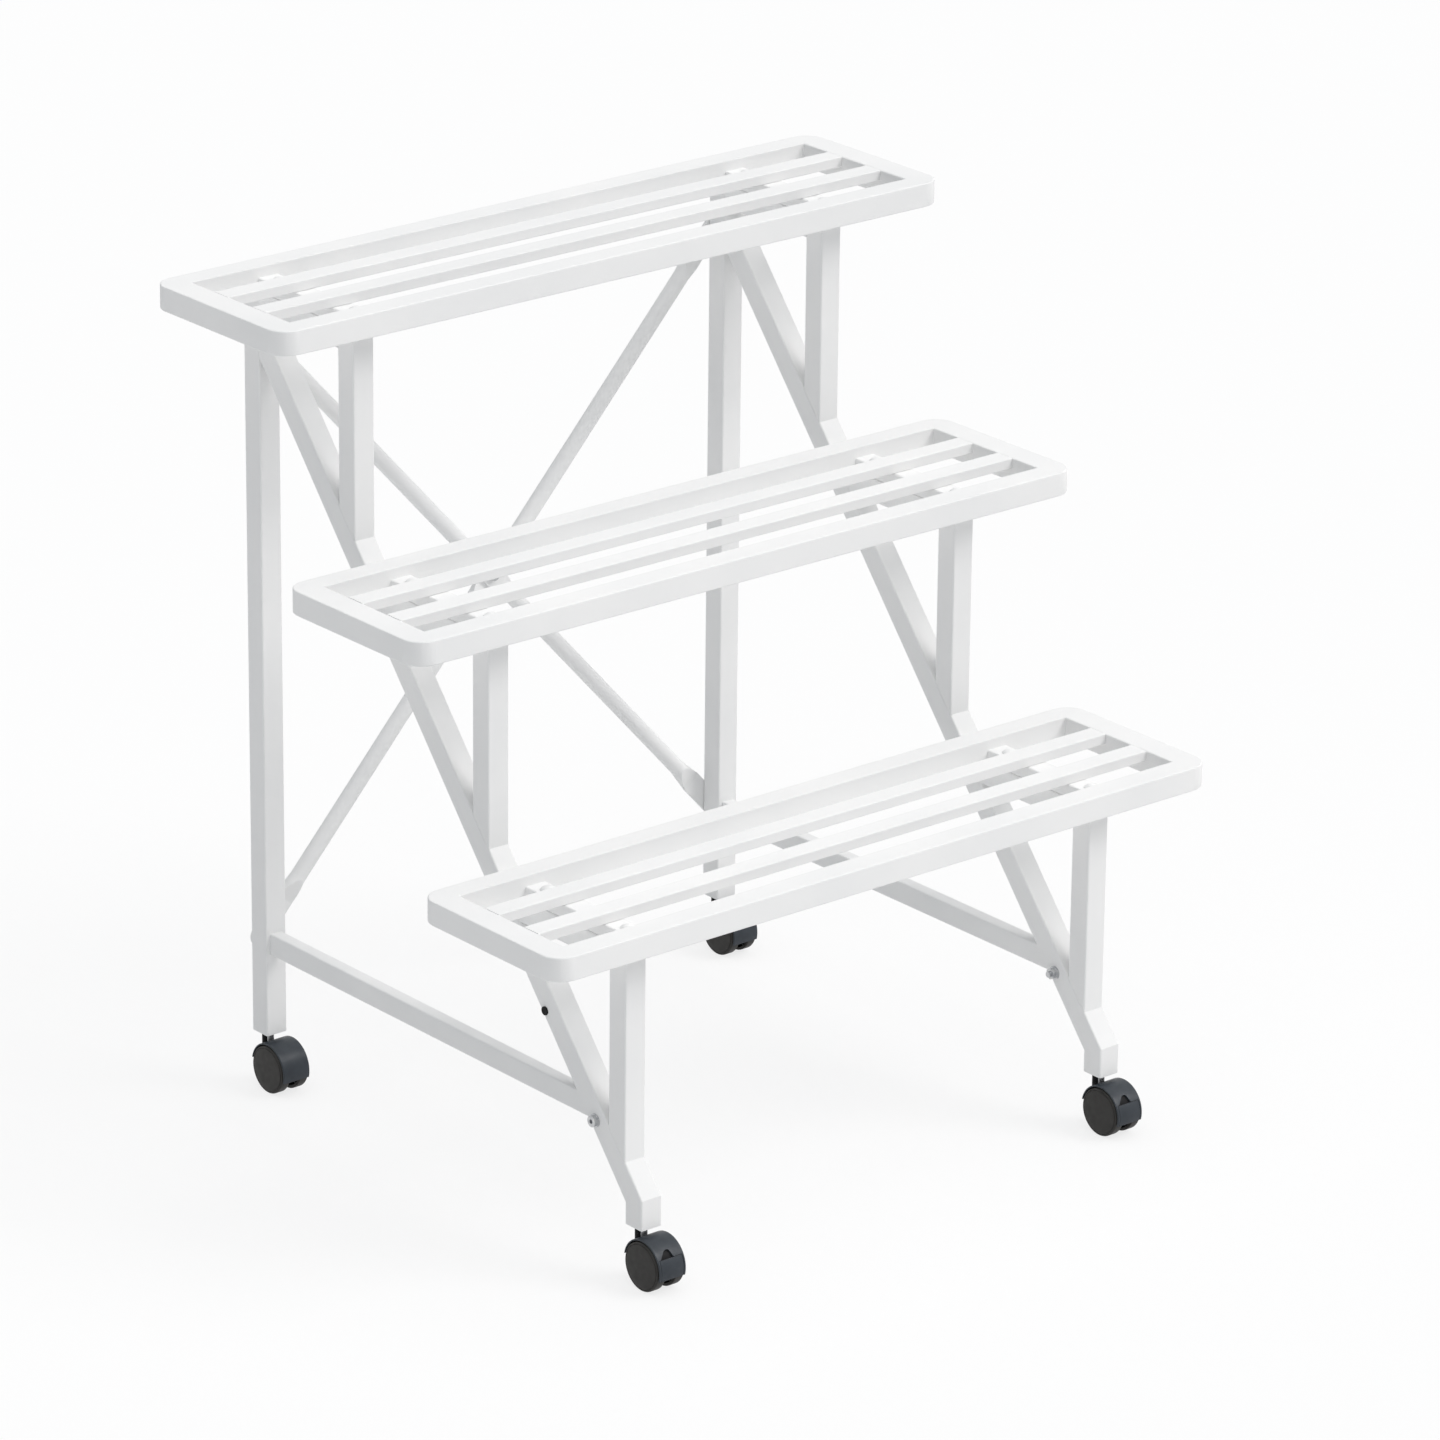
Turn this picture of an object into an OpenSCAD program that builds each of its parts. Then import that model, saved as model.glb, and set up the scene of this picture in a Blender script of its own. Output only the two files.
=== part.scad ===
// Rolling three-tier plant stand with stepped slatted shelves.
// The stand rests on Z = 0, X runs along the shelves and the front faces -Y.

/* [Shelves] */
// Length of each shelf from end to end
shelf_length = 800; // [720:10:900]
// Depth of each shelf from front to back
shelf_depth = 202; // [196:1:208]
// Height of the shelf frame tube
shelf_height = 24; // [21:1:28]
// Width of the shelf frame's front and rear tubes
rim_width = 25; // [22:1:28]
// Width of the shelf frame's end tubes
end_width = 29; // [22:1:34]
// Outer radius of the shelf frame's corners
corner_radius = 22; // [12:1:26]
// Width of each slat
slat_width = 22; // [18:1:26]
// Thickness of each slat
slat_height = 10.5; // [8:0.5:12]

/* [Stepped frame] */
// Height of the bottom shelf's top face above the floor
bottom_shelf_top = 352.5; // [342:0.5:370]
// Distance from one shelf to the next along the floor
tier_run = 202; // [196:1:212]
// Height from one shelf to the next
tier_rise = 242; // [225:1:248]
// Outer width of the square frame tubes
tube = 24; // [22:1:26]
// Wall thickness of the frame tubes
wall = 1.2; // [1:0.1:1.6]
// Outer radius along the edges of the frame tubes
tube_edge = 1.8; // [1.6:0.1:2.5]
// Distance from each end of the shelves to the middle of the side frame there
end_overhang = 117; // [90:1:150]
// Distance from a shelf's front edge to the front of its struts
strut_set_back = 30; // [28:1:36]
// Gap between the middle shelf's rear edge and the rails
rail_gap = 0.4; // [0.3:0.1:2]
// Gap between the top arms and the upper ends of the rails
rail_end_gap = 4; // [1:1:10]
// Height of the tubes' lower ends above the floor
foot_height = 56.5; // [53:0.5:58]
// Height of the front bend where each rail meets its foot, above the foot's lower end
foot_rise = 30; // [24:0.1:32]
// Distance from the top shelf's rear edge forward to the rear of the legs
leg_inset = 1; // [0:1:6]

/* [Braces] */
// Width of the side braces
side_brace_width = 14; // [12:1:16]
// Height of the side braces
side_brace_height = 22; // [20:1:24]
// Drop from the bottom shelf's top to the top of the side braces
side_brace_drop = 190; // [186:1:194]
// Drop from the top shelf's top to the upper bolts of the crossed braces
cross_brace_drop = 67; // [64:1:110]
// Diameter of the crossed rear braces
cross_brace_diameter = 16; // [14:1:18]
// Thickness of the crossed braces where they are pressed flat
flat_thickness = 3; // [2.5:0.5:4]
// Width of the crossed braces where they are pressed flat
flat_width = 22; // [20:1:24]

/* [Casters] */
// Diameter of the caster wheels
wheel_diameter = 48; // [46:0.5:50]
// Width over both wheels of a caster
caster_width = 34; // [32:1:38]
// Distance from a caster's stem to its axle
caster_trail = 17; // [16:0.5:20]
// Diameter of the caster stem
stem_diameter = 8; // [7:0.5:8]
// Diameter of the caster axle
axle_diameter = 6; // [5:0.5:6]
// Angle that the hood covers below the axle at the front
hood_lip_angle = 15; // [10:1:20]

/* [Fits] */
// Gap all round between a plastic insert and the tube that it sits in
insert_gap = 0.1; // [0.05:0.05:0.2]
// Running clearance on the radius of a stem or an axle
running_gap = 0.06; // [0.04:0.01:0.08]
// Clearance on the radius of a bolt hole
bolt_gap = 0.3; // [0.2:0.05:0.4]

/* [Hidden] */

// Colours
coat_white = [0.93, 0.93, 0.92];
caster_grey = [0.25, 0.27, 0.29];
wheel_black = [0.19, 0.18, 0.17];
plug_black = [0.06, 0.06, 0.06];
zinc = [0.72, 0.73, 0.75];
plug_white = [0.88, 0.88, 0.86];

// Rounding of curves and the reach of cutting blocks
arc_steps = 48;
reach = 1200;

// Places along Y, with the stand centred on the origin
slat_count = 2;
side_spread = shelf_length - 2 * end_overhang;
leg_set_back = shelf_depth - leg_inset - tube;
rail_pass_depth = tier_run + shelf_depth + rail_gap;
rail_pass_z = bottom_shelf_top + tier_rise - shelf_height;
rail_end_z = bottom_shelf_top + 2 * tier_rise - shelf_height - tube - rail_end_gap;
rail_slope = (rail_end_z - rail_pass_z) / (2 * tier_run + leg_set_back - rail_pass_depth);
foot_set_back = rail_pass_depth - (rail_pass_z - foot_height - foot_rise) / rail_slope;
brace_radius = cross_brace_diameter / 2;
hood_gap = 1.1;
hood_wall = 1.5;
hood_inside = wheel_diameter / 2 + hood_gap;
hood_radius = hood_inside + hood_wall;
foremost = foot_set_back + tube / 2 - caster_trail - hood_radius;
nut_height = 5;
brace_stand_out = max(brace_radius, flat_thickness + nut_height);
rearmost = 2 * tier_run + leg_set_back + tube + flat_thickness / 2 + brace_stand_out;
front_edge = -(foremost + rearmost) / 2;
foot_front = front_edge + foot_set_back;
leg_front = front_edge + 2 * tier_run + leg_set_back;
leg_rear = leg_front + tube;
side_x = side_spread / 2;
tube_bore = tube - 2 * wall;

// Tiers are counted 0 for the bottom shelf, 1 for the middle and 2 for the top
function tier_front(tier) = front_edge + tier * tier_run;
function tier_top(tier) = bottom_shelf_top + tier * tier_rise;

// The rail passes just behind the middle shelf and ends at the leg, just below the top arm
rail_pass_y = front_edge + rail_pass_depth;
rail_angle = atan(rail_slope);
rail_depth = tube / cos(rail_angle);
function rail_upper(y) = rail_pass_z + rail_slope * (y - rail_pass_y);
function rail_lower(y) = rail_upper(y) - rail_depth;
function rail_lower_y(z) = rail_pass_y + (z + rail_depth - rail_pass_z) / rail_slope;

// Plane of the mitre between a rail and its foot
mitre_drop = rail_upper(foot_front) - rail_lower(foot_front + tube);
mitre_angle = -atan(mitre_drop / tube);
strut_rear = strut_set_back + tube;

// Slats and the straps below them
slat_gap = (shelf_depth - 2 * rim_width - slat_count * slat_width) / (slat_count + 1);
slat_pitch = slat_width + slat_gap;
strap_height = shelf_height - slat_height;
thin_wall = 1;
drain_radius = 2;
drain_inset = 90;

// Screws that hold the shelves, one above the strut and one in the rear gap
bolt_radius = 3;
bolt_hole = bolt_radius + bolt_gap;
thread_hole = bolt_radius + 0.05;
front_screw = strut_set_back + tube / 2;
rear_screw = shelf_depth - rim_width - slat_gap / 2;
screw_head_radius = 7.5;
screw_head_height = 4;
screw_grip = 11;
insert_length = 18;
rivet_nut_radius = 4.4;
rivet_nut_length = 13;

// Bolts through the tubes
head_radius = 5.5;
head_height = 4;
socket_radius = 2.3;
socket_depth = 2.2;
washer_radius = 6.5;
washer_height = 1.2;
nut_radius = 5.8;
bolt_end = 3;
strut_blank = 250;

// The side brace, its tongue in the rail and the bolt that holds it
side_brace_top = bottom_shelf_top - side_brace_drop;
side_brace_middle = side_brace_top - side_brace_height / 2;
tongue_width = side_brace_width - 2 * wall - 0.4;
tongue_height = 16;
tongue_reach = 38;
tongue_drop = 3;
rail_bolt_y = rail_lower_y(side_brace_top) - 26;
rail_bolt_z = side_brace_middle - 7;
brace_plug_length = 30;
leg_bolt_reach = 16;

// The crossed braces between the rear faces of the legs
cross_low = side_brace_middle;
cross_high = tier_top(2) - cross_brace_drop;
cross_angle = atan((cross_high - cross_low) / side_spread);
cross_length = side_spread / cos(cross_angle);
cross_y = leg_rear + flat_thickness / 2;
flat_length = 42;
flat_overhang = 11;
flat_change = 26;
middle_flat = 30;
bore_end = 3;
joint_lap = 0.5;
vent_radius = 1.2;

// Black plug in the outer wall of each rail
plug_set_back = 147;
plug_hole_y = front_edge + plug_set_back;
plug_hole_radius = 3.2;
plug_head_radius = 4.2;
plug_head_height = 1.4;
plug_edge_distance = 5;

// Casters
wheel_radius = wheel_diameter / 2;
stem_radius = stem_diameter / 2;
axle_radius = axle_diameter / 2;
boss_wall = 1.8;
boss_radius = stem_radius + boss_wall;
boss_side_gap = 0.4;
wheel_inner_x = boss_radius + boss_side_gap;
wheel_inset = 0.2;
wheel_outer_x = caster_width / 2 - wheel_inset;
boss_gap = 0.5;
boss_top = foot_height - wheel_radius - boss_gap;
stem_depth = 20;
stem_rise = 16;
stem_bead = 0.4;
socket_length = 20;
web_half = 4;
web_bottom = 7;
hood_rear_angle = 12;
hood_inset = 1.5;
hood_width = caster_width - 2 * hood_inset;
brake_angle = 30;
brake_inset = 4;
brake_half = caster_width / 2 - brake_inset;
brake_gap = 0.4;
window_lowest_angle = 60;
brake_arm_half = 1.5;
brake_arm_gap = 0.3;
brake_arm_low = 8;
brake_arm_inset = 6;
brake_ring_radius = 7;
brake_ring_gap = 1;
axle_inset = 2;
recess_angle = 20;
recess_outline = [[-13, -5], [4, -5], [1, 4.5], [-4, 4.5]];
foot_stem_y = foot_front + tube / 2;
leg_stem_y = leg_front + tube / 2;

// Plain building shapes

// Rectangle with round corners, centred
module round_rectangle(width, height, radius) {
    square([width - 2 * radius, height], center = true);
    square([width, height - 2 * radius], center = true);
    for (x = [-1, 1], y = [-1, 1])
        translate([x * (width / 2 - radius), y * (height / 2 - radius)])
            circle(r = radius, $fn = arc_steps);
}

// Section of a rectangular tube
module tube_section(width, height, thickness, radius) {
    difference() {
        round_rectangle(width, height, radius);
        round_rectangle(width - 2 * thickness, height - 2 * thickness, radius - thickness + 0.1);
    }
}

// Rectangular tube along Z from the origin
module upright_tube(length) {
    linear_extrude(height = length) tube_section(tube, tube, wall, tube_edge);
}

// Rectangular tube along Y from the origin
module level_tube(width, height, thickness, length) {
    rotate([-90, 0, 0])
        linear_extrude(height = length) tube_section(width, height, thickness, tube_edge);
}

// Rectangular tube along X, centred
module cross_tube(width, height, thickness, length) {
    rotate([90, 0, 90])
        linear_extrude(height = length, center = true)
            tube_section(width, height, thickness, 1.2);
}

// Cylinder along X, centred
module rod_x(radius, length) {
    rotate([0, 90, 0]) cylinder(r = radius, h = length, center = true, $fn = arc_steps);
}

// Cylinder along Y from the origin
module rod_y(radius, length) {
    rotate([-90, 0, 0]) cylinder(r = radius, h = length, $fn = arc_steps);
}

// Cylinder along Z from the origin
module rod_z(radius, length) {
    cylinder(r = radius, h = length, $fn = arc_steps);
}

// Outline in Y and Z, given as [y, z] points, pulled out along X and centred
module slab_x(points, thickness) {
    rotate([90, 0, 90])
        linear_extrude(height = thickness, center = true) polygon(points);
}

// Everything below a plane that passes through [y, z] and rises at an angle towards +Y
module below_plane(y, z, angle) {
    translate([0, y, z]) rotate([angle, 0, 0])
        translate([-reach, -reach, -2 * reach]) cube(2 * reach);
}

// Everything above the same plane
module above_plane(y, z, angle) {
    translate([0, y, z]) rotate([angle, 0, 0])
        translate([-reach, -reach, 0]) cube(2 * reach);
}

// Everything behind a plane at Y
module behind(y) {
    translate([-reach, y, -reach]) cube(2 * reach);
}

// Hexagon bar along Z from the origin, with its flats across two radii
module hexagon(radius, length) {
    cylinder(r = radius, h = length, $fn = 6);
}

// Bolt along +Z with its round head below the origin and a hexagon socket
module socket_bolt(length) {
    difference() {
        union() {
            translate([0, 0, -head_height]) rod_z(head_radius, head_height);
            rod_z(bolt_radius, length);
        }
        translate([0, 0, -head_height - 1]) hexagon(socket_radius, socket_depth + 1);
    }
}

// Flat washer above the origin
module washer() {
    difference() {
        rod_z(washer_radius, washer_height);
        translate([0, 0, -1]) rod_z(bolt_hole, washer_height + 2);
    }
}

// Hexagon nut above the origin
module nut() {
    difference() {
        hexagon(nut_radius, nut_height);
        translate([0, 0, -1]) rod_z(thread_hole, nut_height + 2);
    }
}

// Shelves

// Frame of one shelf, bent from tube, with its top face at Z = 0 and its front edge at Y = 0
module shelf_ring() {
    inner_length = shelf_length - 2 * end_width;
    inner_depth = shelf_depth - 2 * rim_width;
    middle = shelf_depth / 2;
    difference() {
        translate([0, middle, -shelf_height])
            linear_extrude(height = shelf_height)
                difference() {
                    round_rectangle(shelf_length, shelf_depth, corner_radius);
                    square([inner_length, inner_depth], center = true);
                }
        translate([0, middle, wall - shelf_height])
            linear_extrude(height = shelf_height - 2 * wall)
                difference() {
                    round_rectangle(shelf_length - 2 * wall, shelf_depth - 2 * wall, corner_radius - wall);
                    square([inner_length + 2 * wall, inner_depth + 2 * wall], center = true);
                }
        for (x = [-1, 1], y = [rim_width / 2, shelf_depth - rim_width / 2])
            translate([x * (shelf_length / 2 - drain_inset), y, -shelf_height - 1])
                rod_z(drain_radius, wall + 2);
    }
}

// Slats of one shelf, flush with the top of its frame
module slats() {
    length = shelf_length - 2 * end_width;
    for (i = [1 : slat_count])
        translate([0, rim_width + i * slat_pitch - slat_width / 2, -slat_height / 2])
            cross_tube(slat_width, slat_height, thin_wall, length);
}

// Straps under the slats of one shelf, with a hole for each screw
module straps() {
    for (x = [-side_x, side_x])
        difference() {
            translate([x, rim_width, -slat_height - strap_height / 2])
                level_tube(tube, strap_height, wall, shelf_depth - 2 * rim_width);
            for (y = [front_screw, rear_screw])
                translate([x, y, -shelf_height - 1]) rod_z(bolt_hole, shelf_height);
        }
}

module placed_on_tier(tier) {
    translate([0, tier_front(tier), tier_top(tier)]) children();
}

// Side frames

// Sloping rail, with its holes for the side brace and the plug
module rail(side) {
    middle_y = (foot_front + leg_front) / 2;
    middle_z = rail_upper(middle_y) - rail_depth / 2;
    color(coat_white)
        translate([side * side_x, 0, 0])
            difference() {
                translate([0, middle_y, middle_z]) rotate([rail_angle - 90, 0, 0])
                    translate([0, 0, -reach / 2]) upright_tube(reach);
                behind(leg_front);
                below_plane(foot_front, rail_upper(foot_front), mitre_angle);
                translate([0, rail_bolt_y, rail_bolt_z]) rod_x(bolt_hole, tube + 2);
                translate([-tongue_width / 2 - insert_gap, rail_bolt_y, tongue_bottom() - insert_gap])
                    cube([tongue_width + 2 * insert_gap, tongue_reach, tongue_height + 2 * insert_gap]);
                translate([side * tube / 2, plug_hole_y, plug_hole_z()])
                    rod_x(plug_hole_radius, 2 * wall + 1);
            }
}

function tongue_bottom() = side_brace_middle - tongue_height / 2 - tongue_drop;
function plug_hole_z() = rail_lower(plug_hole_y) + plug_edge_distance / cos(rail_angle);

// Upright ends of the rails that hold the front casters
module front_feet() {
    color(coat_white)
        for (side = [-1, 1])
            translate([side * side_x, 0, 0])
                difference() {
                    translate([0, foot_stem_y, foot_height]) upright_tube(2 * tube + rail_depth);
                    above_plane(foot_front, rail_upper(foot_front), mitre_angle);
                }
}

// Upright from the rail to the front of a shelf
module strut(side, tier) {
    color(coat_white)
        translate([side * side_x, 0, 0])
            difference() {
                translate([0, tier_front(tier) + front_screw, tier_top(tier) - shelf_height - strut_blank])
                    upright_tube(strut_blank);
                below_plane(rail_pass_y, rail_pass_z, rail_angle);
            }
}

// Level arm under a shelf, from its strut back to the rail or the rear leg
module arm(side, tier) {
    color(coat_white)
        translate([side * side_x, 0, 0])
            difference() {
                translate([0, tier_front(tier) + strut_rear, tier_top(tier) - shelf_height - tube / 2])
                    level_tube(tube, tube, wall, shelf_depth);
                below_plane(rail_pass_y, rail_pass_z, rail_angle);
                behind(leg_front);
                translate([0, tier_front(tier) + rear_screw, tier_top(tier) - shelf_height - 2 * wall])
                    rod_z(rivet_nut_radius + insert_gap, 3 * wall);
            }
}

// Rear leg, with its holes for the bolts of the crossed braces
module rear_leg(side) {
    color(coat_white)
        translate([side * side_x, 0, 0])
            difference() {
                translate([0, leg_stem_y, foot_height])
                    upright_tube(tier_top(2) - shelf_height - foot_height);
                translate([0, leg_front - 1, cross_low]) rod_y(bolt_hole, tube + 2);
                translate([0, leg_rear - 2 * wall, cross_high])
                    rod_y(rivet_nut_radius + insert_gap, 3 * wall);
            }
}

// Low brace from the rail back to the rear leg, with a tongue that enters the rail
module side_brace(side) {
    tongue_front = rail_bolt_y - bolt_hole - 3;
    color(coat_white)
        translate([side * side_x, 0, 0]) {
            difference() {
                union() {
                    translate([0, rail_bolt_y, side_brace_middle])
                        level_tube(side_brace_width, side_brace_height, wall, leg_front - rail_bolt_y);
                    translate([-tongue_width / 2, rail_bolt_y + tube / 2, tongue_bottom()])
                        cube([tongue_width, tongue_reach, tongue_height]);
                }
                above_plane(rail_pass_y, rail_pass_z - rail_depth, rail_angle);
            }
            difference() {
                intersection() {
                    translate([-tongue_width / 2, tongue_front, tongue_bottom()])
                        cube([tongue_width, tongue_reach, tongue_height]);
                    above_plane(rail_pass_y, rail_pass_z - rail_depth - 0.5, rail_angle);
                }
                translate([0, rail_bolt_y, rail_bolt_z]) rod_x(bolt_hole, tube);
            }
        }
}

// Braces

// Change from round tube to a flat that is shifted along Y, along X from the origin
module flattening(shift) {
    start = brace_radius + 1;
    intersection() {
        rotate([0, 90, 0])
            cylinder(r1 = brace_radius, r2 = flat_width / 2 - 0.3, h = flat_change, $fn = arc_steps);
        linear_extrude(height = 2 * flat_width, center = true)
            polygon([
                [0, -start], [flat_change, shift - flat_thickness / 2],
                [flat_change, shift + flat_thickness / 2], [0, start]
            ]);
    }
}

// Tube with flat, drilled ends and a flat middle, along X and centred, with its flats square to Y
module cross_brace(shift) {
    tab_start = cross_length / 2 - flat_length;
    tube_start = middle_flat / 2 + flat_change;
    tube_end = tab_start - flat_change;
    difference() {
        union() {
            for (end = [-1, 1])
                scale([end, 1, 1]) {
                    translate([tab_start - joint_lap, -flat_thickness / 2, -flat_width / 2])
                        cube([flat_length + joint_lap, flat_thickness, flat_width]);
                    translate([cross_length / 2, -flat_thickness / 2, 0])
                        rod_y(flat_overhang, flat_thickness);
                    translate([tube_end, 0, 0]) flattening(0);
                    translate([(tube_start + tube_end) / 2, 0, 0])
                        rod_x(brace_radius, tube_end - tube_start + 2 * joint_lap);
                    translate([tube_start, 0, 0]) scale([-1, 1, 1]) flattening(shift);
                }
            translate([-middle_flat / 2 - joint_lap, shift - flat_thickness / 2, -flat_width / 2])
                cube([middle_flat + 2 * joint_lap, flat_thickness, flat_width]);
        }
        for (x = [-cross_length / 2, 0, cross_length / 2])
            translate([x, -brace_radius, 0]) rod_y(bolt_hole, 2 * brace_radius);
        for (end = [-1, 1])
            scale([end, 1, 1]) {
                translate([(tube_start + tube_end) / 2, 0, 0])
                    rod_x(brace_radius - thin_wall, tube_end - tube_start - 2 * bore_end);
                translate([tube_end - 3 * bore_end, 0, -brace_radius - 1]) rod_z(vent_radius, brace_radius);
            }
    }
}

module placed_cross_brace(direction) {
    color(coat_white)
        translate([0, cross_y, (cross_low + cross_high) / 2])
            rotate([0, -direction * cross_angle, 0])
                cross_brace(direction * flat_thickness / 2);
}

// Fasteners

// Dome-headed screw that points down from the origin
module shelf_screw() {
    dome = (pow(screw_head_radius, 2) + pow(screw_head_height, 2)) / (2 * screw_head_height);
    intersection() {
        translate([0, 0, screw_head_height - dome]) sphere(r = dome, $fn = arc_steps);
        rod_z(screw_head_radius, screw_head_height);
    }
    translate([0, 0, -strap_height - screw_grip]) rod_z(bolt_radius, strap_height + screw_grip);
}

module shelf_screws() {
    color(coat_white)
        for (tier = [0 : 2], x = [-side_x, side_x], y = [front_screw, rear_screw])
            placed_on_tier(tier) translate([x, y, -slat_height]) shelf_screw();
}

// Block that fills a square tube, along Z from the origin
module tube_filler(length) {
    side = tube_bore - 2 * insert_gap;
    linear_extrude(height = length) round_rectangle(side, side, tube_edge - wall + 0.3);
}

// Threaded plugs in the tops of the struts
module strut_inserts() {
    color(plug_white)
        for (tier = [0 : 2], x = [-side_x, side_x])
            placed_on_tier(tier) translate([x, front_screw, -shelf_height - insert_length])
                difference() {
                    tube_filler(insert_length);
                    translate([0, 0, -1]) rod_z(thread_hole, insert_length + 2);
                }
}

// Threaded sleeve, open at both ends, down from the origin
module rivet_nut() {
    translate([0, 0, -rivet_nut_length])
        difference() {
            rod_z(rivet_nut_radius, rivet_nut_length);
            translate([0, 0, -1]) rod_z(thread_hole, rivet_nut_length + 2);
        }
}

module arm_rivet_nuts() {
    color(zinc)
        for (tier = [0 : 2], x = [-side_x, side_x])
            placed_on_tier(tier) translate([x, rear_screw, -shelf_height]) rivet_nut();
}

module leg_rivet_nuts() {
    color(zinc)
        for (x = [-side_x, side_x])
            translate([x, leg_rear, cross_high]) rotate([-90, 0, 0]) rivet_nut();
}

// Bolts through the rails, with their heads and washers on the outside
module rail_bolts() {
    length = tube + 2 * washer_height + nut_height + bolt_end;
    color(zinc)
        for (side = [-1, 1])
            translate([side * (side_x + tube / 2), rail_bolt_y, rail_bolt_z])
                rotate([0, -side * 90, 0]) {
                    translate([0, 0, -washer_height]) socket_bolt(length);
                    translate([0, 0, -washer_height]) washer();
                }
}

module rail_nuts() {
    color(zinc)
        for (side = [-1, 1])
            translate([side * (side_x - tube / 2), rail_bolt_y, rail_bolt_z])
                rotate([0, -side * 90, 0]) {
                    washer();
                    translate([0, 0, washer_height]) nut();
                }
}

// Bolts through the flat ends of the crossed braces into the legs
module leg_bolts() {
    back = leg_rear + flat_thickness + washer_height;
    low_grip = tube + leg_bolt_reach;
    color(zinc)
        for (x = [-side_x, side_x], low = [0, 1])
            translate([x, back, low == 1 ? cross_low : cross_high])
                rotate([90, 0, 0]) {
                    socket_bolt(washer_height + flat_thickness + (low == 1 ? low_grip : rivet_nut_length));
                    washer();
                }
}

// Threaded plugs in the rear ends of the side braces
module brace_end_plugs() {
    width = side_brace_width - 2 * wall - 2 * insert_gap;
    height = side_brace_height - 2 * wall - 2 * insert_gap;
    color(plug_white)
        for (x = [-side_x, side_x])
            translate([x, leg_front - brace_plug_length, side_brace_middle])
                difference() {
                    rotate([-90, 0, 0]) linear_extrude(height = brace_plug_length)
                        round_rectangle(width, height, tube_edge - wall + 0.3);
                    translate([0, -1, 0]) rod_y(thread_hole, brace_plug_length + 2);
                }
}

// Bolt and nut where the braces cross
module cross_brace_bolt() {
    color(zinc)
        translate([0, cross_y - flat_thickness, (cross_low + cross_high) / 2])
            rotate([-90, 0, 0]) {
                socket_bolt(2 * flat_thickness + nut_height);
                translate([0, 0, 2 * flat_thickness]) nut();
            }
}

module rail_hole_plugs() {
    color(plug_black)
        for (side = [-1, 1])
            translate([side * (side_x + tube / 2), plug_hole_y, plug_hole_z()])
                rotate([0, side * 90, 0]) {
                    rod_z(plug_head_radius, plug_head_height);
                    translate([0, 0, -3 * wall]) rod_z(plug_hole_radius - insert_gap, 3 * wall);
                }
}

// Casters

module at_stems() {
    for (x = [-side_x, side_x], y = [foot_stem_y, leg_stem_y])
        translate([x, y, foot_height]) children();
}

// Plastic insert for the lower end of a tube, bored for a stem
module caster_socket() {
    difference() {
        tube_filler(socket_length);
        translate([0, 0, -1]) rod_z(stem_radius + insert_gap / 4, socket_length + 2);
    }
}

module caster_sockets() {
    color(plug_black)
        for (x = [-side_x, side_x]) {
            translate([x, leg_stem_y, foot_height]) caster_socket();
            difference() {
                translate([x, foot_stem_y, foot_height]) caster_socket();
                above_plane(foot_front, rail_upper(foot_front) - 2 * wall, mitre_angle);
            }
        }
}

// Steel stems with a bead that keeps the hood on
module caster_stems() {
    color(zinc)
        at_stems() {
            translate([0, 0, -stem_depth]) rod_z(stem_radius, stem_depth + stem_rise);
            translate([0, 0, -stem_depth + 3]) rod_z(stem_radius + stem_bead, 2);
        }
}

// Local frame of a caster, with the origin at the middle of its axle
module at_caster(side, rear) {
    translate([side * side_x, (rear ? leg_stem_y : foot_stem_y) - caster_trail, wheel_radius]) children();
}

// Points of an arc in Y and Z, with angles counted from the front upwards
function front_arc(radius, from, to, steps) = [
    for (i = [0 : steps])
        let (angle = from + (to - from) * i / steps)
        [-radius * cos(angle), radius * sin(angle)]
];

// Wedge of a circle in Y and Z that reaches past the hood, between two angles from the front
module wedge_x(from, to, thickness) {
    slab_x(concat([[0, 0]], front_arc(3 * hood_radius, from, to, 4)), thickness);
}

// Hood over both wheels, with the web that holds the axle and the boss that turns on the stem
module hood(side, rear) {
    color(caster_grey)
        at_caster(side, rear)
            difference() {
                union() {
                    intersection() {
                        difference() {
                            rod_x(hood_radius, hood_width);
                            rod_x(hood_inside, hood_width + 2);
                        }
                        wedge_x(-hood_lip_angle, 180 - hood_rear_angle, caster_width + 2);
                    }
                    difference() {
                        rod_x(hood_inside + 0.4, 2 * web_half);
                        translate([-reach, -reach, -web_bottom - 2 * reach]) cube(2 * reach);
                    }
                    translate([0, caster_trail, -2]) rod_z(boss_radius, boss_top + 2);
                }
                rod_x(axle_radius, caster_width);
                translate([0, caster_trail, boss_top + boss_gap - stem_depth - 0.4])
                    rod_z(stem_radius + running_gap, stem_depth + 2);
                translate([0, caster_trail, boss_top + boss_gap - stem_depth + 2.6])
                    rod_z(stem_radius + stem_bead + running_gap, 2.8);
                if (!rear) brake_room();
            }
}

// Window in the hood, slot in its web and recess above the pedal
module brake_room() {
    intersection() {
        wedge_x(-window_lowest_angle, brake_angle + 1, 2 * (brake_half + brake_gap));
        through_hood_wall();
    }
    wedge_x(-window_lowest_angle, brake_angle + 6, 2 * (brake_arm_half + brake_arm_gap));
    rod_x(brake_ring_radius + brake_ring_gap, 2 * (brake_arm_half + brake_arm_gap));
    intersection() {
        through_hood_wall();
        rotate([90 - brake_angle - recess_angle / 2, 0, 0])
            linear_extrude(height = 2 * hood_radius)
                polygon(recess_outline);
    }
}

// Ring that reaches right through the hood's wall
module through_hood_wall() {
    difference() {
        rod_x(hood_radius + 2, caster_width);
        rod_x(hood_inside - 0.6, caster_width + 2);
    }
}

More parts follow.
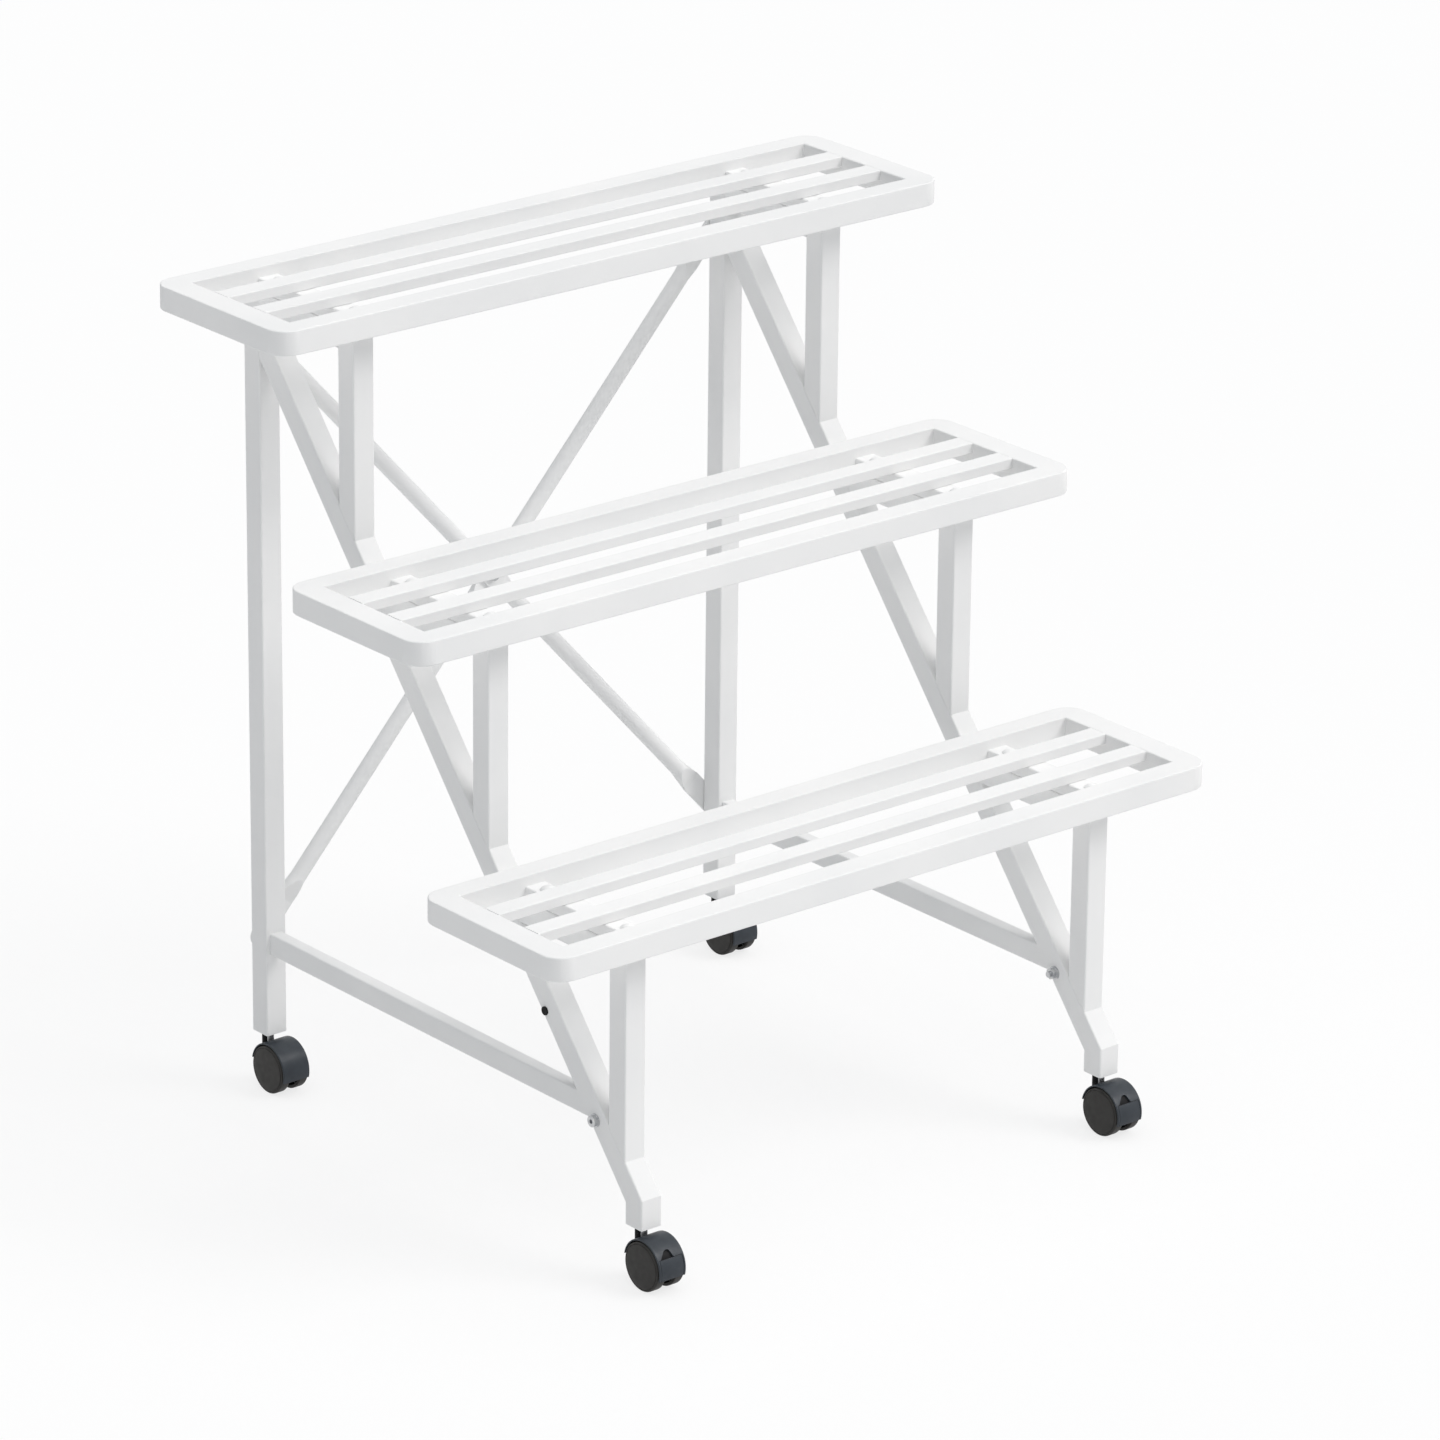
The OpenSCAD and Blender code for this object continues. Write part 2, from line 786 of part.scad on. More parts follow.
// Pedal that turns about the axle
module brake(side) {
    color(caster_grey)
        at_caster(side, false)
            difference() {
                union() {
                    intersection() {
                        difference() {
                            rod_x(hood_radius, 2 * brake_half);
                            rod_x(hood_inside - 0.1, 2 * brake_half + 2);
                        }
                        wedge_x(-hood_lip_angle, brake_angle, 2 * brake_half + 2);
                    }
                    intersection() {
                        rod_x(hood_inside, 2 * brake_arm_half);
                        wedge_x(-brake_arm_low, brake_angle - brake_arm_inset, 2 * brake_arm_half);
                    }
                    rod_x(brake_ring_radius, 2 * brake_arm_half);
                }
                rod_x(axle_radius + running_gap, caster_width);
            }
}

module axle(side, rear) {
    color(zinc) at_caster(side, rear) rod_x(axle_radius, caster_width - 2 * axle_inset);
}

// One wheel, turned about X: tread, outer disc, hub and inner ribs
module wheel(side, rear, face) {
    rim_inside = wheel_radius - 3;
    rib_count = 12;
    disc_inner_x = wheel_outer_x - 2.4;
    color(wheel_black)
        at_caster(side, rear)
            scale([face, 1, 1]) {
                rotate([0, 90, 0]) rotate([0, 0, 90])
                    rotate_extrude($fn = 2 * arc_steps)
                        polygon([
                            [axle_radius + running_gap, wheel_inner_x],
                            [axle_radius + 3.5, wheel_inner_x],
                            [axle_radius + 3.5, disc_inner_x],
                            [rim_inside, disc_inner_x],
                            [rim_inside, wheel_inner_x],
                            [wheel_radius - 0.8, wheel_inner_x],
                            [wheel_radius, wheel_inner_x + 0.8],
                            [wheel_radius, wheel_outer_x - 2],
                            [wheel_radius - 0.6, wheel_outer_x - 1],
                            [wheel_radius - 1.6, wheel_outer_x - 0.8],
                            [wheel_radius - 2.2, wheel_outer_x - 0.2],
                            [wheel_radius * 0.6, wheel_outer_x],
                            [0, wheel_outer_x],
                            [0, wheel_outer_x - 1.4],
                            [axle_radius + running_gap, wheel_outer_x - 1.4]
                        ]);
                for (i = [0 : rib_count - 1])
                    rotate([i * 360 / rib_count, 0, 0])
                        translate([disc_inner_x - 5, -0.6, axle_radius + 3])
                            cube([5.2, 1.2, rim_inside - axle_radius - 2.6]);
            }
}

color(coat_white) placed_on_tier(2) shelf_ring();  // top_shelf_frame
color(coat_white) placed_on_tier(1) shelf_ring();  // middle_shelf_frame
color(coat_white) placed_on_tier(0) shelf_ring();  // bottom_shelf_frame
color(coat_white) placed_on_tier(2) slats();  // top_shelf_slats
color(coat_white) placed_on_tier(1) slats();  // middle_shelf_slats
color(coat_white) placed_on_tier(0) slats();  // bottom_shelf_slats
color(coat_white) placed_on_tier(2) straps();  // top_shelf_straps
color(coat_white) placed_on_tier(1) straps();  // middle_shelf_straps
color(coat_white) placed_on_tier(0) straps();  // bottom_shelf_straps
rail(-1);  // left_rail
rail(1);  // right_rail
front_feet();
strut(-1, 2);  // left_top_strut
strut(-1, 1);  // left_middle_strut
strut(-1, 0);  // left_bottom_strut
strut(1, 2);  // right_top_strut
strut(1, 1);  // right_middle_strut
strut(1, 0);  // right_bottom_strut
arm(-1, 2);  // left_top_arm
arm(-1, 1);  // left_middle_arm
arm(-1, 0);  // left_bottom_arm
arm(1, 2);  // right_top_arm
arm(1, 1);  // right_middle_arm
arm(1, 0);  // right_bottom_arm
rear_leg(-1);  // left_rear_leg
rear_leg(1);  // right_rear_leg
side_brace(-1);  // left_side_brace
side_brace(1);  // right_side_brace
placed_cross_brace(-1);  // falling_cross_brace
placed_cross_brace(1);  // rising_cross_brace
shelf_screws();
strut_inserts();
arm_rivet_nuts();
rail_bolts();
rail_nuts();
leg_bolts();
leg_rivet_nuts();
brace_end_plugs();
cross_brace_bolt();
rail_hole_plugs();
caster_sockets();
caster_stems();
hood(-1, false);  // front_left_hood
hood(1, false);  // front_right_hood
hood(-1, true);  // rear_left_hood
hood(1, true);  // rear_right_hood
axle(-1, false);  // front_left_axle
axle(1, false);  // front_right_axle
axle(-1, true);  // rear_left_axle
axle(1, true);  // rear_right_axle
wheel(-1, false, -1);  // front_left_outer_wheel
wheel(-1, false, 1);  // front_left_inner_wheel
wheel(1, false, 1);  // front_right_outer_wheel
wheel(1, false, -1);  // front_right_inner_wheel
wheel(-1, true, -1);  // rear_left_outer_wheel
wheel(-1, true, 1);  // rear_left_inner_wheel
wheel(1, true, 1);  // rear_right_outer_wheel
wheel(1, true, -1);  // rear_right_inner_wheel
brake(-1);  // front_left_brake
brake(1);  // front_right_brake
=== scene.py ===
"""Looks of a rolling three-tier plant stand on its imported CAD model.

Lengths are in metres and angles in degrees, unless a heading says otherwise.
"""

import math

import bmesh
import bpy
from mathutils import Matrix, Vector


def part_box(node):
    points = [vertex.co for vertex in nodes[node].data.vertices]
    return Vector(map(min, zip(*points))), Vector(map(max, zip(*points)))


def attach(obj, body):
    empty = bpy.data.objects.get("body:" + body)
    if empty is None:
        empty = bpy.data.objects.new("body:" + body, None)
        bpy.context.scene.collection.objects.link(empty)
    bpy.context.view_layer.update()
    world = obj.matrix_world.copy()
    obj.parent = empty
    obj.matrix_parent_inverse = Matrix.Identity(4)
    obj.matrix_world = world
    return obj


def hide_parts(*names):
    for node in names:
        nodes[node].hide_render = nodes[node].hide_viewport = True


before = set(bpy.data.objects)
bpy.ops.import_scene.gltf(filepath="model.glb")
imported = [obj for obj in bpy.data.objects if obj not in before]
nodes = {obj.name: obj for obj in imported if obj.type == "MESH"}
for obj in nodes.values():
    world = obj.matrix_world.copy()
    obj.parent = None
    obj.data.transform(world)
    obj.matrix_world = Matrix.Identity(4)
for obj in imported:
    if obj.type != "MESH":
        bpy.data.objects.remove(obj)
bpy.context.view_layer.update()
scene = bpy.context.scene


# Camera: at azimuth 0 it looks along +Y; the focal length is in pixels of the photograph

IMAGE_SIDE = 1440
FOCAL_PIXELS = 7527.6
SENSOR = 36
NEAREST = 0.1
FURTHEST = 100
AZIMUTH = -39.8
ELEVATION = 20.82
ROLL = -0.62
CAMERA_PLACE = Vector((-4.2552, -5.1465, 2.9412))


def add_camera():
    azimuth, elevation, roll = (math.radians(a) for a in (AZIMUTH, ELEVATION, ROLL))
    level = math.cos(elevation)
    back = Vector((math.sin(azimuth) * level, -math.cos(azimuth) * level, math.sin(elevation)))
    level_right = Vector((0, 0, 1)).cross(back).normalized()
    level_up = back.cross(level_right)
    right = math.cos(roll) * level_right - math.sin(roll) * level_up
    up = math.sin(roll) * level_right + math.cos(roll) * level_up
    turn = Matrix((right, up, back)).transposed().to_4x4()
    data = bpy.data.cameras.new("camera")
    data.sensor_width = SENSOR
    data.lens = FOCAL_PIXELS / IMAGE_SIDE * SENSOR
    data.clip_start = NEAREST
    data.clip_end = FURTHEST
    camera = bpy.data.objects.new("camera", data)
    camera.matrix_world = Matrix.Translation(CAMERA_PLACE) @ turn
    scene.collection.objects.link(camera)
    scene.camera = camera


add_camera()


# Materials: noise scales are per metre

NOISE_LOW = 0.3
NOISE_HIGH = 0.7
COAT_COOL = (0.83, 0.832, 0.83)
COAT_WARM = (0.87, 0.868, 0.862)
COAT_GLOSS = 0.06
SHEEN_DRIFT = (-0.07, 0.08)


class Finish:
    """A node material with its shader and the object's own coordinates."""

    def __init__(self, name, sockets):
        self.material = bpy.data.materials.new(name)
        self.material.use_nodes = True
        self.nodes = self.material.node_tree.nodes
        self.links = self.material.node_tree.links
        self.shader = self.nodes["Principled BSDF"]
        for socket, value in sockets.items():
            self.shader.inputs[socket].default_value = value
        self.place = self.nodes.new("ShaderNodeTexCoord").outputs["Object"]

    def noise(self, scale, detail):
        node = self.nodes.new("ShaderNodeTexNoise")
        node.inputs["Scale"].default_value = scale
        node.inputs["Detail"].default_value = detail
        self.links.new(self.place, node.inputs["Vector"])
        return node.outputs["Fac"]

    def colour(self, factor, *stops):
        """Base colour from a ramp; each stop is (position, (red, green, blue))."""
        ramp = self.nodes.new("ShaderNodeValToRGB")
        elements = ramp.color_ramp.elements
        while len(elements) < len(stops):
            elements.new(0.5)
        for element, (position, rgb) in zip(elements, stops):
            element.position = position
            element.color = (*rgb, 1)
        self.links.new(factor, ramp.inputs["Fac"])
        self.links.new(ramp.outputs["Color"], self.shader.inputs["Base Color"])

    def roughness(self, factor, low, high):
        reach = self.nodes.new("ShaderNodeMapRange")
        reach.inputs["From Min"].default_value = NOISE_LOW
        reach.inputs["From Max"].default_value = NOISE_HIGH
        reach.inputs["To Min"].default_value = low
        reach.inputs["To Max"].default_value = high
        self.links.new(factor, reach.inputs["Value"])
        self.links.new(reach.outputs["Result"], self.shader.inputs["Roughness"])

    def bumps(self, *layers):
        """Bumps on top of each other; each layer is (height, strength, depth)."""
        normal = None
        for height, strength, depth in layers:
            bump = self.nodes.new("ShaderNodeBump")
            bump.inputs["Strength"].default_value = strength
            bump.inputs["Distance"].default_value = depth
            self.links.new(height, bump.inputs["Height"])
            if normal:
                self.links.new(normal, bump.inputs["Normal"])
            normal = bump.outputs["Normal"]
        self.links.new(normal, self.shader.inputs["Normal"])


def white_coat():
    """Powder coat: a fine orange peel, a faint drift in its white and in its sheen."""
    finish = Finish("white_powder_coat", {"Specular IOR Level": COAT_GLOSS})
    finish.colour(finish.noise(9, 4), (NOISE_LOW, COAT_COOL), (NOISE_HIGH, COAT_WARM))
    finish.roughness(finish.noise(70, 3), 0.46, 0.6)
    finish.bumps((finish.noise(420, 2), 0.25, 0.0003), (finish.noise(1600, 2), 0.2, 0.0001))
    return finish.material


def zinc():
    """Zinc-plated steel: cloudy grey with a fine grain."""
    finish = Finish("zinc_plate", {"Metallic": 1.0})
    finish.colour(
        finish.noise(260, 4),
        (NOISE_LOW, (0.42, 0.43, 0.45)),
        (0.55, (0.58, 0.59, 0.6)),
        (0.75, (0.68, 0.67, 0.64)),
    )
    finish.roughness(finish.noise(900, 3), 0.28, 0.5)
    finish.bumps((finish.noise(2600, 2), 0.25, 0.00006))
    return finish.material


def plastic(name, dark, light, rough, gloss):
    """Moulded plastic: a fine grain, a faint drift in colour and some handling sheen."""
    finish = Finish(name, {"Specular IOR Level": gloss})
    finish.colour(finish.noise(90, 4), (NOISE_LOW, dark), (NOISE_HIGH, light))
    low, high = (rough + drift for drift in SHEEN_DRIFT)
    finish.roughness(finish.noise(130, 3), low, high)
    finish.bumps((finish.noise(1500, 3), 0.3, 0.00012), (finish.noise(260, 2), 0.15, 0.0002))
    return finish.material


COAT = white_coat()
ZINC = zinc()
HOOD_PLASTIC = plastic(
    "caster_grey_plastic",
    dark=(0.03, 0.036, 0.044),
    light=(0.038, 0.045, 0.054),
    rough=0.42,
    gloss=0.25,
)
WHEEL_PLASTIC = plastic(
    "wheel_black_plastic",
    dark=(0.017, 0.016, 0.0145),
    light=(0.023, 0.0215, 0.0195),
    rough=0.5,
    gloss=0.3,
)
# black plastic of the plugs, sockets and collars, also the colour of the painted shade sheet in
# the braked casters' recess
BLACK_PLASTIC_AND_PAINTED_SHADE = plastic(
    "black_plastic_and_painted_shade",
    dark=(0.006, 0.006, 0.007),
    light=(0.01, 0.01, 0.011),
    rough=0.6,
    gloss=0.12,
)
WHITE_PLASTIC = plastic(
    "insert_white_plastic",
    dark=(0.74, 0.735, 0.72),
    light=(0.79, 0.785, 0.77),
    rough=0.5,
    gloss=0.5,
)

FINISHES = {
    ZINC: [
        "arm_rivet_nuts",
        "rail_bolts",
        "rail_nuts",
        "leg_bolts",
        "leg_rivet_nuts",
        "cross_brace_bolt",
        "caster_stems",
    ],
    BLACK_PLASTIC_AND_PAINTED_SHADE: ["rail_hole_plugs", "caster_sockets"],
    WHITE_PLASTIC: ["strut_inserts", "brace_end_plugs"],
}


def finish_of(name):
    if name.endswith(("_hood", "_brake")):
        return HOOD_PLASTIC
    if name.endswith("_wheel"):
        return WHEEL_PLASTIC
    if name.endswith("_axle"):
        return ZINC
    for material, members in FINISHES.items():
        if name in members:
            return material
    return COAT


for name, node in nodes.items():
    for slot in node.material_slots:
        slot.material = finish_of(name)


# Rounded edges on the shelf rings, lengths in millimetres

MM = 0.001
SAME_POINT = 0.001
SHARPEST_SMOOTH = 40
FLAT_ENOUGH = 0.5
SHELF_EDGE = 1.4
SHELF_EDGE_STEPS = 3


def round_edges(node):
    """Joins the import's split corners and flat triangles, then rounds the sharp edges."""
    weld = node.modifiers.new("weld", "WELD")
    weld.merge_threshold = SAME_POINT * MM
    flats = node.modifiers.new("flats", "DECIMATE")
    flats.decimate_type = "DISSOLVE"
    flats.angle_limit = math.radians(FLAT_ENOUGH)
    bevel = node.modifiers.new("rounding", "BEVEL")
    bevel.width = SHELF_EDGE * MM
    bevel.segments = SHELF_EDGE_STEPS
    bevel.limit_method = "ANGLE"
    bevel.angle_limit = math.radians(SHARPEST_SMOOTH)
    bevel.harden_normals = True
    bevel.use_clamp_overlap = False


for tier in ("top", "middle", "bottom"):
    round_edges(nodes[f"{tier}_shelf_frame"])


# Shapes in millimetres, angles counted from the front upwards


def soften(corners, steps=4):
    """An outline with rounded corners; each corner is (x, y, how far its rounding reaches)."""
    outline = []
    for i, (x, y, reach) in enumerate(corners):
        here = Vector((x, y))
        if not reach:
            outline.append(here)
            continue
        start = here + reach * (Vector(corners[i - 1][:2]) - here).normalized()
        end = here + reach * (Vector(corners[(i + 1) % len(corners)][:2]) - here).normalized()
        for step in range(steps + 1):
            t = step / steps
            outline.append(start.lerp(here, t).lerp(here.lerp(end, t), t))
    return outline


def rectangle(left, right, low, high):
    """An outline of (x, radius)."""
    return [(right, low), (right, high), (left, high), (left, low)]


def front_arc(radius, start, sweep, steps):
    """Points (y, z) on a circle about the X axis."""
    angles = (math.radians(start + sweep * i / steps) for i in range(steps + 1))
    return [(-radius * math.cos(a), radius * math.sin(a)) for a in angles]


def join(bm, ring, following):
    """Faces between two outlines that have as many corners."""
    for j in range(len(ring)):
        bm.faces.new((ring[j - 1], ring[j], following[j], following[j - 1]))


def lathe(bm, outline, steps=96, start=0, sweep=360):
    """Turns a closed outline of (x, radius) about the X axis, all round or as a closed arc."""
    whole = sweep == 360
    places = front_arc(1, start, sweep, steps)
    if whole:
        places.pop()
    rings = [[bm.verts.new((x, r * y, r * z)) for x, r in outline] for y, z in places]
    pairs = list(zip(rings, rings[1:] + rings[:1]))
    if not whole:
        pairs.pop()
        bm.faces.new(rings[0])
        bm.faces.new(reversed(rings[-1]))
    for ring, following in pairs:
        join(bm, ring, following)


def close_between(bm, ends):
    """Makes two outlines of vertices into a closed body."""
    for end in ends:
        bm.faces.new(end)
    join(bm, *ends)


def slab(bm, outline, low, high):
    """A closed outline of (y, z) made solid from low to high along X."""
    close_between(bm, [[bm.verts.new((x, y, z)) for y, z in outline] for x in (low, high)])


def smooth(mesh):
    """Smooth shading but for the sharp edges."""
    mesh.shade_smooth()
    mesh.set_sharp_from_angle(angle=math.radians(SHARPEST_SMOOTH))
    return mesh


def finished_mesh(name, bm):
    """The shape in metres."""
    bmesh.ops.remove_doubles(bm, verts=bm.verts, dist=SAME_POINT)
    bmesh.ops.recalc_face_normals(bm, faces=bm.faces)
    bmesh.ops.scale(bm, vec=(MM, MM, MM), verts=bm.verts)
    mesh = bpy.data.meshes.new(name)
    bm.to_mesh(mesh)
    bm.free()
    return smooth(mesh)


def cut_away(mesh, cutter):
    """The mesh less what the cutter's shape covers."""
    whole, knife = [bpy.data.objects.new(m.name, m) for m in (mesh, cutter)]
    for item in (whole, knife):
        scene.collection.objects.link(item)
    cut = whole.modifiers.new("cut", "BOOLEAN")
    cut.object = knife
    cut.solver = "EXACT"
    cut.use_self = True
    graph = bpy.context.evaluated_depsgraph_get()
    result = bpy.data.meshes.new_from_object(whole.evaluated_get(graph))
    for item in (whole, knife):
        bpy.data.objects.remove(item)
    return smooth(result)


def add_piece(name, mesh, place, material, body, replaced):
    piece = bpy.data.objects.new(name, mesh)
    piece.location = place
    mesh.materials.append(material)
    scene.collection.objects.link(piece)
    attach(piece, body)
    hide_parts(replaced)


# Casters, in millimetres; each piece is made about the middle of its axle

CORNERS = ["front_left", "front_right", "rear_left", "rear_right"]
BRAKED = ["front_left", "front_right"]
INNER_ROUNDING = 0.3

AXLE_RADIUS = 3
BORE = AXLE_RADIUS + 0.05
HUB = AXLE_RADIUS + 3.5
TREAD_WALL = 3
DISC_WALL = 2.4
CAP_WALL = 1.4
CAP_FLAT = 0.55
# the tread's outer edge and the disc's groove: (in from the face, in from the tread, rounding)
WHEEL_EDGE = [
    (1.1, 0, 1.2),
    (0.45, 1.7, 0.3),
    (0.95, 1.85, 0.1),
    (0.95, 2.35, 0.1),
    (0.3, 2.6, 0.3),
]
RIB_COUNT = 12
RIB_LENGTH = 5.2
RIB_WIDTH = 1.2
RIB_OVERLAP = 0.8
RIB_MIDDLE = 2.4

HOOD_GAP = 1.1
HOOD_WALL = 1.5
HOOD_FRONT = -15
HOOD_SWEEP = 183
HOOD_ROUNDING = 1
WEB_HALF = 4
WEB_BOTTOM = -7
WEB_OVERLAP = 0.4
WEB_FRONT = -14
WEB_SWEEP = 208

PEDAL_TOP = 30
PEDAL_GAP = 0.3
PEDAL_OVERLAP = 0.1
PEDAL_ROUNDING = 0.7
PEDAL_RING = 7
PEDAL_ARM_HALF = 1.5
PEDAL_ARM_FRONT = -8
PEDAL_ARM_SWEEP = PEDAL_TOP + 2

# depths count outwards from the inner face of the hood's wall
WINDOW_FRONT = -60
WINDOW_SWEEP = PEDAL_TOP + 61
WINDOW_DEPTHS = (-0.8, 6)
RECESS_LEAN = 10
RECESS_OUTLINE = [(-13, -5, 0), (4, -5, 0), (1, 4.5, 1.5), (-4, 4.5, 1.5)]
# (depth, size against the outline)
RECESS_ENDS = [(-2, 0.8), (6, 1.1)]
# a black sheet of painted shade behind the recess: its sides, depths, front edge and sweep
SHADE_SHEET_SIDES = (-14, 6)
SHADE_SHEET_DEPTHS = (-0.75, -0.35)
SHADE_SHEET_FRONT = PEDAL_TOP - 6
SHADE_SHEET_SWEEP = 30

COLLAR_RADIUS = 5.8
COLLAR_LOW = -2
COLLAR_SHOULDER = 1.2
COLLAR_TAPER = 0.5


def wheel_shape(radius, inner, outer):
    """Rounded tread, cover disc with a groove just inside its edge, hub and ribs."""
    rim = radius - TREAD_WALL
    back = outer - DISC_WALL
    cap = outer - CAP_WALL
    bm = bmesh.new()
    corners = [
        (inner, BORE, 0),
        (inner, HUB, 0.4),
        (back, HUB, 1),
        (back, rim, 1),
        (inner, rim, 0.3),
        (inner, radius, 0.9),
        *((outer - x, radius - y, reach) for x, y, reach in WHEEL_EDGE),
        (outer, CAP_FLAT * radius, 4),
        (outer, 0, 0),
        (cap, 0, 0),
        (cap, BORE, 0),
    ]
    lathe(bm, soften(corners))
    for i in range(RIB_COUNT):
        rib = bmesh.ops.create_cube(bm, size=1)["verts"]
        bmesh.ops.scale(bm, vec=(RIB_LENGTH, RIB_WIDTH, rim - HUB + RIB_OVERLAP), verts=rib)
        bmesh.ops.translate(bm, vec=(back - RIB_MIDDLE, 0, (rim + HUB) / 2), verts=rib)
        turn = Matrix.Rotation(math.radians(360 / RIB_COUNT * i), 3, "X")
        bmesh.ops.rotate(bm, matrix=turn, verts=rib)
    return bm


def shell(bm, half, low, high, rounding, sweep):
    """An arc of wall from the hood's front edge, rounded more outside than inside."""
    corners = [
        (half, low, INNER_ROUNDING),
        (half, high, rounding),
        (-half, high, rounding),
        (-half, low, INNER_ROUNDING),
    ]
    lathe(bm, soften(corners), steps=72, start=HOOD_FRONT, sweep=sweep)


def hood_shape(half, inside, braked):
    """Curved wall over both wheels and the web between them, split where the pedal's arm runs."""
    bm = bmesh.new()
    shell(bm, half, inside, inside + HOOD_WALL, HOOD_ROUNDING, HOOD_SWEEP)
    web = front_arc(inside + WEB_OVERLAP, WEB_FRONT, WEB_SWEEP, steps=48)
    web[0] = (web[0][0], WEB_BOTTOM)
    web[-1] = (web[-1][0], WEB_BOTTOM)
    if braked:
        slot_half = PEDAL_ARM_HALF + PEDAL_GAP
        slab(bm, web, -WEB_HALF, -slot_half)
        slab(bm, web, slot_half, WEB_HALF)
    else:
        slab(bm, web, -WEB_HALF, WEB_HALF)
    return bm


def hood_cutter(pedal_half, inside):
    """Room for the pedal, and the small recess above it that narrows upwards and inwards."""
    bm = bmesh.new()
    room = pedal_half + PEDAL_GAP
    low, high = (inside + depth for depth in WINDOW_DEPTHS)
    window = rectangle(-room, room, low, high)
    lathe(bm, window, steps=48, start=WINDOW_FRONT, sweep=WINDOW_SWEEP)
    lean = math.radians(PEDAL_TOP + RECESS_LEAN)
    outward = Vector((0, -math.cos(lean), math.sin(lean)))
    upward = Vector((0, math.sin(lean), math.cos(lean)))
    outline = soften(RECESS_OUTLINE)
    ends = []
    for depth, width in RECESS_ENDS:
        middle = (inside + depth) * outward
        points = [Vector((width * x, 0, 0)) + width * h * upward + middle for x, h in outline]
        ends.append([bm.verts.new(p) for p in points])
    close_between(bm, ends)
    return bm


def recess_painted_shade(inside):
    """Black sheet of painted shade behind the recess, between the hood's wall and the wheels."""
    bm = bmesh.new()
    low, high = (inside + depth for depth in SHADE_SHEET_DEPTHS)
    plate = rectangle(*SHADE_SHEET_SIDES, low, high)
    lathe(bm, plate, steps=24, start=SHADE_SHEET_FRONT, sweep=SHADE_SHEET_SWEEP)
    return bm


def pedal_shape(half, inside):
    """Curved tread plate, its arm between the web's plates and the ring on the axle."""
    bm = bmesh.new()
    low, high = inside - PEDAL_OVERLAP, inside + HOOD_WALL
    shell(bm, half, low, high, PEDAL_ROUNDING, PEDAL_TOP - HOOD_FRONT)
    arm = [(0, 0)] + front_arc(inside, PEDAL_ARM_FRONT, PEDAL_ARM_SWEEP, steps=8)
    slab(bm, arm, -PEDAL_ARM_HALF, PEDAL_ARM_HALF)
    lathe(bm, rectangle(-PEDAL_ARM_HALF, PEDAL_ARM_HALF, BORE, PEDAL_RING), steps=48)
    return bm


def collar_shape(high):
    """Sleeve between the hood and the tube, with a rounded shoulder."""
    bm = bmesh.new()
    corners = [
        (COLLAR_LOW, 0, 0),
        (COLLAR_LOW, COLLAR_RADIUS, 0.3),
        (high - COLLAR_SHOULDER, COLLAR_RADIUS, 0),
        (high, COLLAR_RADIUS - COLLAR_TAPER, 0.4),
        (high, 0, 0),
    ]
    lathe(bm, soften(corners), steps=64)
    bmesh.ops.rotate(bm, matrix=Matrix.Rotation(math.radians(-90), 3, "Y"), verts=bm.verts)
    return bm


def add_wheels(corner, place):
    """Both wheels of a caster; returns their radius."""
    for side in ("outer", "inner"):
        name = f"{corner}_{side}_wheel"
        low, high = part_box(name)
        radius = (high.z - low.z) / 2 / MM
        inner, outer = sorted(abs(x - place.x) / MM for x in (low.x, high.x))
        bm = wheel_shape(radius, inner, outer)
        if low.x < place.x:
            bmesh.ops.scale(bm, vec=(-1, 1, 1), verts=bm.verts)
        mesh = finished_mesh(name, bm)
        body = f"{corner}_{side}_roller"
        add_piece(f"{name}_looks", mesh, place, WHEEL_PLASTIC, body, name)
    return radius


def add_pedal(corner, place, inside, hood_mesh):
    """Brake pedal and the black sheet of painted shade above it; returns the hood's mesh with
    room for them.
    """
    pedal_low, pedal_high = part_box(f"{corner}_brake")
    half = (pedal_high.x - pedal_low.x) / 2 / MM
    cut = cut_away(hood_mesh, finished_mesh("cutter", hood_cutter(half, inside)))
    mesh = finished_mesh("pedal", pedal_shape(half, inside))
    name, body, brake = f"{corner}_pedal_looks", f"{corner}_pedal", f"{corner}_brake"
    add_piece(name, mesh, place, HOOD_PLASTIC, body, brake)
    # black sheet of painted shade that darkens the recess above the pedal
    mesh = finished_mesh("recess_painted_shade", recess_painted_shade(inside))
    name, body, hood = f"{corner}_recess_painted_shade", f"{corner}_caster", f"{corner}_hood"
    add_piece(name, mesh, place, BLACK_PLASTIC_AND_PAINTED_SHADE, body, hood)
    return cut


def add_caster(corner):
    axle_low, axle_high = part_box(f"{corner}_axle")
    place = (axle_low + axle_high) / 2
    hood_low, hood_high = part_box(f"{corner}_hood")
    half = (hood_high.x - hood_low.x) / 2 / MM
    inside = add_wheels(corner, place) + HOOD_GAP
    body, hood = f"{corner}_caster", f"{corner}_hood"
    braked = corner in BRAKED
    mesh = finished_mesh("hood", hood_shape(half, inside, braked))
    if braked:
        mesh = add_pedal(corner, place, inside, mesh)
    add_piece(f"{corner}_hood_looks", mesh, place, HOOD_PLASTIC, body, hood)
    mesh = finished_mesh("collar", collar_shape((hood_high.z - place.z) / MM))
    stem = Vector((place.x, hood_high.y - COLLAR_RADIUS * MM, place.z))
    add_piece(f"{corner}_collar", mesh, stem, BLACK_PLASTIC_AND_PAINTED_SHADE, body, hood)


for corner in CORNERS:
    add_caster(corner)


# Studio: floor, world and lights

FLOOR_SIDE = 60
FLOOR_WHITE = 0.88
FLOOR_DRIFT = 0.995
FLOOR_WHITENING = 0.78
WORLD_LIGHT = (0.326, 0.342, 0.359, 1)
LAMPS = {
    # name: (strength, colour, tilt from above to the front, turn to the right, softness)
    "overhead": (1.37, (1, 0.99, 0.98), 8, 0, 70),
    "front": (1.36, (1, 0.978, 0.965), 48, 42, 30),
}


